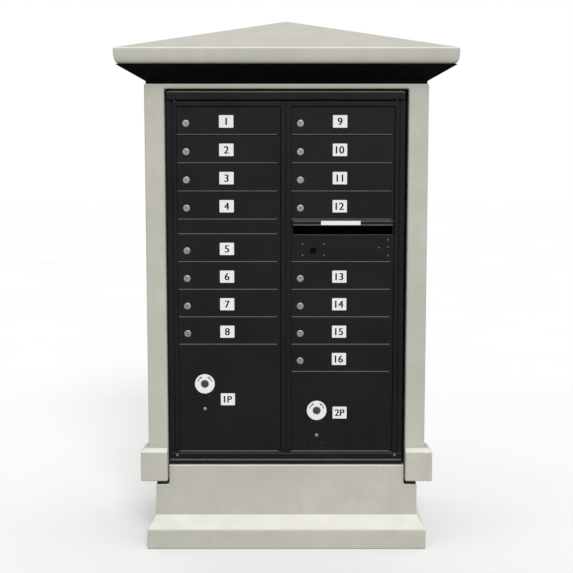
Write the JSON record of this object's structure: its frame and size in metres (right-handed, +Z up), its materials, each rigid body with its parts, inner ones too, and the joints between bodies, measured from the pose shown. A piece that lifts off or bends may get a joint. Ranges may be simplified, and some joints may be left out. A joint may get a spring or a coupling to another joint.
{
  "type": "cluster mailbox unit",
  "caption": "Free-standing cluster mailbox cabinet in a roofed cast-stone surround, with hinged tenant doors, parcel doors, an outgoing mail slot and master doors for the carrier.",
  "frame": {"origin": "on the ground, under the centre of the roof's outline", "axes": "+Z up; the doors face -Y; +X to the right as seen from the front"},
  "size_m": [1.084, 0.73, 1.757],
  "materials": {
    "cast_stone": "fine sanded cast stone",
    "black_powder_coat": "fine-textured satin powder coat",
    "soffit_black": "matt black paint",
    "lock_metal": "satin",
    "fixing_steel": "dull zinc",
    "pad_rubber": "matt",
    "label_white": "matt label",
    "label_ink": "printed ink"
  },
  "bodies": {
    "housing": {"roof_cap": "cast_stone", "roof_soffit": "soffit_black", "column_shell": "cast_stone", "rear_panel": "cast_stone", "base_blocks": "cast_stone", "pedestal_cover": "cast_stone", "setting_pads": "pad_rubber", "pedestal_frame": "black_powder_coat", "fixing_screws": "fixing_steel", "cabinet_shell": "black_powder_coat", "compartment_rack": "black_powder_coat", "top_hood": "black_powder_coat", "bottom_sill": "black_powder_coat", "master_hinge_pins": "fixing_steel"},
    "left_master": {"left_master_door": "black_powder_coat", "left_hinge_rod": "fixing_steel", "blank_filler_panel": "black_powder_coat"},
    "right_master": {"right_master_door": "black_powder_coat", "right_hinge_rod": "fixing_steel", "carrier_lock_panel": "black_powder_coat", "mail_slot_hood": "black_powder_coat", "carrier_lock_case": "lock_metal"},
    "latch_bar": {"master_latch_bar": "fixing_steel"},
    "carrier_plug": {"carrier_lock_plug": "lock_metal"},
    "parcel_1": {"parcel_door_1": "black_powder_coat"},
    "parcel_cam_1": {"parcel_lock_1": "lock_metal"},
    "parcel_2": {"parcel_door_2": "black_powder_coat"},
    "parcel_cam_2": {"parcel_lock_2": "lock_metal"},
    "tenant_01": {"tenant_door_01": "black_powder_coat"},
    "tenant_cam_01": {"tenant_lock_01": "lock_metal"},
    "tenant_02": {"tenant_door_02": "black_powder_coat"},
    "tenant_cam_02": {"tenant_lock_02": "lock_metal"},
    "tenant_03": {"tenant_door_03": "black_powder_coat"},
    "tenant_cam_03": {"tenant_lock_03": "lock_metal"},
    "tenant_04": {"tenant_door_04": "black_powder_coat"},
    "tenant_cam_04": {"tenant_lock_04": "lock_metal"},
    "tenant_05": {"tenant_door_05": "black_powder_coat"},
    "tenant_cam_05": {"tenant_lock_05": "lock_metal"},
    "tenant_06": {"tenant_door_06": "black_powder_coat"},
    "tenant_cam_06": {"tenant_lock_06": "lock_metal"},
    "tenant_07": {"tenant_door_07": "black_powder_coat"},
    "tenant_cam_07": {"tenant_lock_07": "lock_metal"},
    "tenant_08": {"tenant_door_08": "black_powder_coat"},
    "tenant_cam_08": {"tenant_lock_08": "lock_metal"},
    "tenant_09": {"tenant_door_09": "black_powder_coat"},
    "tenant_cam_09": {"tenant_lock_09": "lock_metal"},
    "tenant_10": {"tenant_door_10": "black_powder_coat"},
    "tenant_cam_10": {"tenant_lock_10": "lock_metal"},
    "tenant_11": {"tenant_door_11": "black_powder_coat"},
    "tenant_cam_11": {"tenant_lock_11": "lock_metal"},
    "tenant_12": {"tenant_door_12": "black_powder_coat"},
    "tenant_cam_12": {"tenant_lock_12": "lock_metal"},
    "tenant_13": {"tenant_door_13": "black_powder_coat"},
    "tenant_cam_13": {"tenant_lock_13": "lock_metal"},
    "tenant_14": {"tenant_door_14": "black_powder_coat"},
    "tenant_cam_14": {"tenant_lock_14": "lock_metal"},
    "tenant_15": {"tenant_door_15": "black_powder_coat"},
    "tenant_cam_15": {"tenant_lock_15": "lock_metal"},
    "tenant_16": {"tenant_door_16": "black_powder_coat"},
    "tenant_cam_16": {"tenant_lock_16": "lock_metal"}
  },
  "joints": [
    {"name": "left_master_hinge", "type": "hinge", "parent": "housing", "child": "left_master", "pos_m": [-0.362, -0.259, 0.9], "axis": [0, 0, 1], "range_deg": [-100, 0]},
    {"name": "right_master_hinge", "type": "hinge", "parent": "housing", "child": "right_master", "pos_m": [0.358, -0.259, 0.9], "axis": [0, 0, -1], "range_deg": [-100, 0]},
    {"name": "master_latch_slide", "type": "slide", "parent": "right_master", "child": "latch_bar", "axis": [-1, 0, 0], "range_m": [0, 0.02]},
    {"name": "carrier_lock_turn", "type": "hinge", "parent": "right_master", "child": "carrier_plug", "pos_m": [0.087, -0.256, 0.991], "axis": [0, 1, 0], "range_deg": [0, 90]},
    {"name": "parcel_1_hinge", "type": "hinge", "parent": "left_master", "child": "parcel_1", "pos_m": [-0.023, -0.263, 0.55], "axis": [0, 0, 1], "range_deg": [0, 105]},
    {"name": "parcel_1_lock_turn", "type": "hinge", "parent": "parcel_1", "child": "parcel_cam_1", "pos_m": [-0.27, -0.266, 0.55], "axis": [0, 1, 0], "range_deg": [0, 90]},
    {"name": "parcel_2_hinge", "type": "hinge", "parent": "right_master", "child": "parcel_2", "pos_m": [0.347, -0.263, 0.4605], "axis": [0, 0, 1], "range_deg": [0, 105]},
    {"name": "parcel_2_lock_turn", "type": "hinge", "parent": "parcel_2", "child": "parcel_cam_2", "pos_m": [0.1, -0.266, 0.4605], "axis": [0, 1, 0], "range_deg": [0, 90]},
    {"name": "tenant_01_hinge", "type": "hinge", "parent": "left_master", "child": "tenant_01", "pos_m": [-0.023, -0.263, 1.41], "axis": [0, 0, 1], "range_deg": [0, 105]},
    {"name": "tenant_02_hinge", "type": "hinge", "parent": "left_master", "child": "tenant_02", "pos_m": [-0.023, -0.263, 1.319], "axis": [0, 0, 1], "range_deg": [0, 105]},
    {"name": "tenant_03_hinge", "type": "hinge", "parent": "left_master", "child": "tenant_03", "pos_m": [-0.023, -0.263, 1.228], "axis": [0, 0, 1], "range_deg": [0, 105]},
    {"name": "tenant_04_hinge", "type": "hinge", "parent": "left_master", "child": "tenant_04", "pos_m": [-0.023, -0.263, 1.137], "axis": [0, 0, 1], "range_deg": [0, 105]},
    {"name": "tenant_05_hinge", "type": "hinge", "parent": "left_master", "child": "tenant_05", "pos_m": [-0.023, -0.263, 0.998], "axis": [0, 0, 1], "range_deg": [0, 105]},
    {"name": "tenant_06_hinge", "type": "hinge", "parent": "left_master", "child": "tenant_06", "pos_m": [-0.023, -0.263, 0.907], "axis": [0, 0, 1], "range_deg": [0, 105]},
    {"name": "tenant_07_hinge", "type": "hinge", "parent": "left_master", "child": "tenant_07", "pos_m": [-0.023, -0.263, 0.816], "axis": [0, 0, 1], "range_deg": [0, 105]},
    {"name": "tenant_08_hinge", "type": "hinge", "parent": "left_master", "child": "tenant_08", "pos_m": [-0.023, -0.263, 0.725], "axis": [0, 0, 1], "range_deg": [0, 105]},
    {"name": "tenant_09_hinge", "type": "hinge", "parent": "right_master", "child": "tenant_09", "pos_m": [0.347, -0.263, 1.41], "axis": [0, 0, 1], "range_deg": [0, 105]},
    {"name": "tenant_10_hinge", "type": "hinge", "parent": "right_master", "child": "tenant_10", "pos_m": [0.347, -0.263, 1.319], "axis": [0, 0, 1], "range_deg": [0, 105]},
    {"name": "tenant_11_hinge", "type": "hinge", "parent": "right_master", "child": "tenant_11", "pos_m": [0.347, -0.263, 1.228], "axis": [0, 0, 1], "range_deg": [0, 105]},
    {"name": "tenant_12_hinge", "type": "hinge", "parent": "right_master", "child": "tenant_12", "pos_m": [0.347, -0.263, 1.137], "axis": [0, 0, 1], "range_deg": [0, 105]},
    {"name": "tenant_13_hinge", "type": "hinge", "parent": "right_master", "child": "tenant_13", "pos_m": [0.347, -0.263, 0.907], "axis": [0, 0, 1], "range_deg": [0, 105]},
    {"name": "tenant_14_hinge", "type": "hinge", "parent": "right_master", "child": "tenant_14", "pos_m": [0.347, -0.263, 0.816], "axis": [0, 0, 1], "range_deg": [0, 105]},
    {"name": "tenant_15_hinge", "type": "hinge", "parent": "right_master", "child": "tenant_15", "pos_m": [0.347, -0.263, 0.725], "axis": [0, 0, 1], "range_deg": [0, 105]},
    {"name": "tenant_16_hinge", "type": "hinge", "parent": "right_master", "child": "tenant_16", "pos_m": [0.347, -0.263, 0.634], "axis": [0, 0, 1], "range_deg": [0, 105]},
    {"name": "tenant_01_lock_turn", "type": "hinge", "parent": "tenant_01", "child": "tenant_cam_01", "pos_m": [-0.325, -0.266, 1.403], "axis": [0, 1, 0], "range_deg": [0, 90]},
    {"name": "tenant_02_lock_turn", "type": "hinge", "parent": "tenant_02", "child": "tenant_cam_02", "pos_m": [-0.325, -0.266, 1.312], "axis": [0, 1, 0], "range_deg": [0, 90]},
    {"name": "tenant_03_lock_turn", "type": "hinge", "parent": "tenant_03", "child": "tenant_cam_03", "pos_m": [-0.325, -0.266, 1.221], "axis": [0, 1, 0], "range_deg": [0, 90]},
    {"name": "tenant_04_lock_turn", "type": "hinge", "parent": "tenant_04", "child": "tenant_cam_04", "pos_m": [-0.325, -0.266, 1.13], "axis": [0, 1, 0], "range_deg": [0, 90]},
    {"name": "tenant_05_lock_turn", "type": "hinge", "parent": "tenant_05", "child": "tenant_cam_05", "pos_m": [-0.325, -0.266, 0.991], "axis": [0, 1, 0], "range_deg": [0, 90]},
    {"name": "tenant_06_lock_turn", "type": "hinge", "parent": "tenant_06", "child": "tenant_cam_06", "pos_m": [-0.325, -0.266, 0.9], "axis": [0, 1, 0], "range_deg": [0, 90]},
    {"name": "tenant_07_lock_turn", "type": "hinge", "parent": "tenant_07", "child": "tenant_cam_07", "pos_m": [-0.325, -0.266, 0.809], "axis": [0, 1, 0], "range_deg": [0, 90]},
    {"name": "tenant_08_lock_turn", "type": "hinge", "parent": "tenant_08", "child": "tenant_cam_08", "pos_m": [-0.325, -0.266, 0.718], "axis": [0, 1, 0], "range_deg": [0, 90]},
    {"name": "tenant_09_lock_turn", "type": "hinge", "parent": "tenant_09", "child": "tenant_cam_09", "pos_m": [0.045, -0.266, 1.403], "axis": [0, 1, 0], "range_deg": [0, 90]},
    {"name": "tenant_10_lock_turn", "type": "hinge", "parent": "tenant_10", "child": "tenant_cam_10", "pos_m": [0.045, -0.266, 1.312], "axis": [0, 1, 0], "range_deg": [0, 90]},
    {"name": "tenant_11_lock_turn", "type": "hinge", "parent": "tenant_11", "child": "tenant_cam_11", "pos_m": [0.045, -0.266, 1.221], "axis": [0, 1, 0], "range_deg": [0, 90]},
    {"name": "tenant_12_lock_turn", "type": "hinge", "parent": "tenant_12", "child": "tenant_cam_12", "pos_m": [0.045, -0.266, 1.13], "axis": [0, 1, 0], "range_deg": [0, 90]},
    {"name": "tenant_13_lock_turn", "type": "hinge", "parent": "tenant_13", "child": "tenant_cam_13", "pos_m": [0.045, -0.266, 0.9], "axis": [0, 1, 0], "range_deg": [0, 90]},
    {"name": "tenant_14_lock_turn", "type": "hinge", "parent": "tenant_14", "child": "tenant_cam_14", "pos_m": [0.045, -0.266, 0.809], "axis": [0, 1, 0], "range_deg": [0, 90]},
    {"name": "tenant_15_lock_turn", "type": "hinge", "parent": "tenant_15", "child": "tenant_cam_15", "pos_m": [0.045, -0.266, 0.718], "axis": [0, 1, 0], "range_deg": [0, 90]},
    {"name": "tenant_16_lock_turn", "type": "hinge", "parent": "tenant_16", "child": "tenant_cam_16", "pos_m": [0.045, -0.266, 0.627], "axis": [0, 1, 0], "range_deg": [0, 90]}
  ],
  "couplings": [
    {"joint": "carrier_lock_turn", "follows": "master_latch_slide", "rad_per_m": 78.5}
  ]
}
